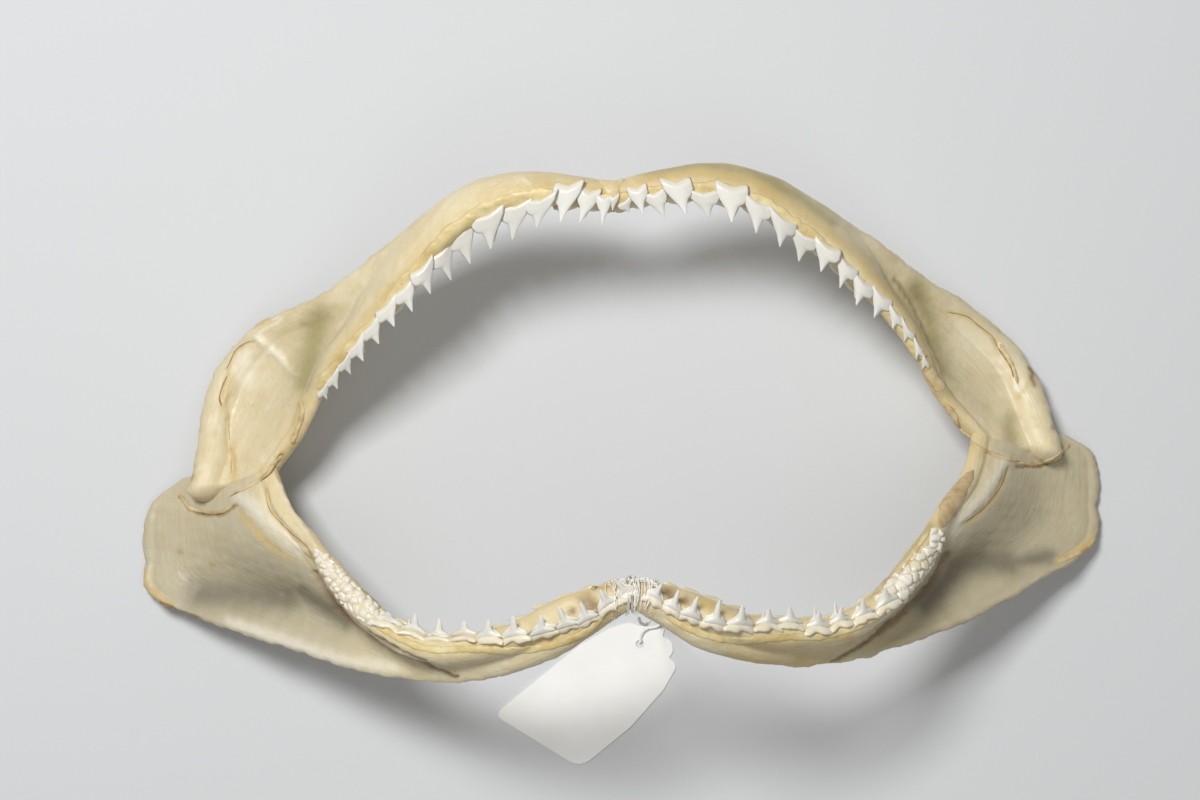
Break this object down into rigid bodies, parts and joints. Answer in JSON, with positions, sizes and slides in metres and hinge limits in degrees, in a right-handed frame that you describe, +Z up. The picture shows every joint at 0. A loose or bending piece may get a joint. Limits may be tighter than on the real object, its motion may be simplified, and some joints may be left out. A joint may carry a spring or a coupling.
{
  "type": "shark jaw",
  "caption": "Dried, cleaned jaws of a requiem shark, spread and lying on their back with the gape upward, with tooth rows, a thread lashing and a small paper tag.",
  "frame": {"origin": "on the floor, under the centre of the whole object's bounding box", "axes": "+X toward the side of the jaws on the picture's right, along the jaws' width; +Y from the lower jaw to the upper jaw; +Z up from the floor, the way the open mouth faces. Left in a node's name is the -X side."},
  "size_m": [0.41, 0.2504, 0.133],
  "materials": {
    "dried_cartilage": "dried shark cartilage with white teeth, satin",
    "tag_paper": "smooth card",
    "white_thread": "soft twisted thread"
  },
  "bodies": {
    "root": {"upper_jaw_left": "dried_cartilage", "upper_jaw_right": "dried_cartilage", "lower_jaw_left": "dried_cartilage", "lower_jaw_right": "dried_cartilage", "symphysis_lashing": "white_thread", "tag": "tag_paper", "tag_thread": "white_thread"}
  },
  "joints": []
}
